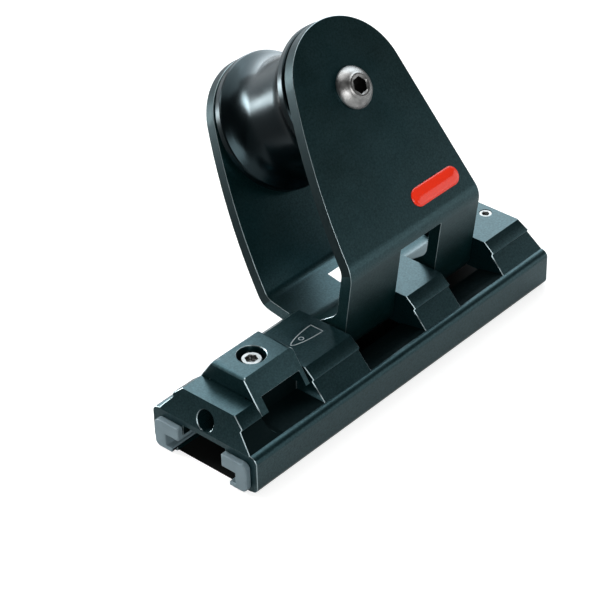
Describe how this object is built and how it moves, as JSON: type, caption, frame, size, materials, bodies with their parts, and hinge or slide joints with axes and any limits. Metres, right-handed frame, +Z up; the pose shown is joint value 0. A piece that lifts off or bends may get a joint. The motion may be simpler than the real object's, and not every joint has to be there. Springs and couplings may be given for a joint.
{
  "type": "genoa car",
  "caption": "T-track sheet lead car: slotted black body with grey liners, spring stop knob, and an extruded sheave frame that leans on a long hinge pin.",
  "frame": {"origin": "middle of the body's underside, on the track slot's centre line", "axes": "+X along the track, away from the spring stop; +Z up; the sheave frame leans toward +Y at rest"},
  "size_m": [0.1666, 0.1037, 0.1147],
  "materials": {
    "black_anodised_aluminium": "satin black anodised",
    "grey_acetal": "moulded grey acetal",
    "stainless_steel": "turned stainless steel",
    "black_acetal": "polished black acetal",
    "natural_acetal": "machined natural acetal",
    "bronze": "turned bearing bronze"
  },
  "bodies": {
    "carriage": {"carriage_base": "black_anodised_aluminium", "slide_liner_near": "grey_acetal", "slide_liner_far": "grey_acetal", "hinge_pin": "stainless_steel", "pin_lock_screw": "stainless_steel", "stop_guide": "bronze", "stop_retainer": "stainless_steel", "stop_spring": "stainless_steel"},
    "stop": {"stop_plunger": "stainless_steel", "stop_knob": "black_anodised_aluminium", "stop_screw": "stainless_steel"},
    "block": {"sheave_frame": "black_anodised_aluminium", "axle_tube": "stainless_steel", "axle_screw_near": "stainless_steel", "axle_screw_far": "stainless_steel", "thrust_washer_near": "natural_acetal", "thrust_washer_far": "natural_acetal"},
    "sheave": {"sheave_drum": "black_acetal", "sheave_bush_near": "natural_acetal", "sheave_bush_far": "natural_acetal"}
  },
  "joints": [
    {"name": "frame_lean", "type": "hinge", "parent": "carriage", "child": "block", "pos_m": [0, 0, 0.0189], "axis": [1, 0, 0], "range_deg": [0, 72]},
    {"name": "sheave_spin", "type": "hinge", "parent": "block", "child": "sheave", "pos_m": [0.0232, 0.04291, 0.07796], "axis": [0, 0.809, -0.5878], "continuous": true},
    {"name": "stop_lift", "type": "slide", "parent": "carriage", "child": "stop", "axis": [0, 0, 1], "range_m": [0, 0.0055], "stiffness_N_per_m": 800, "springref_m": -0.012, "deforming": ["stop_spring"]}
  ]
}
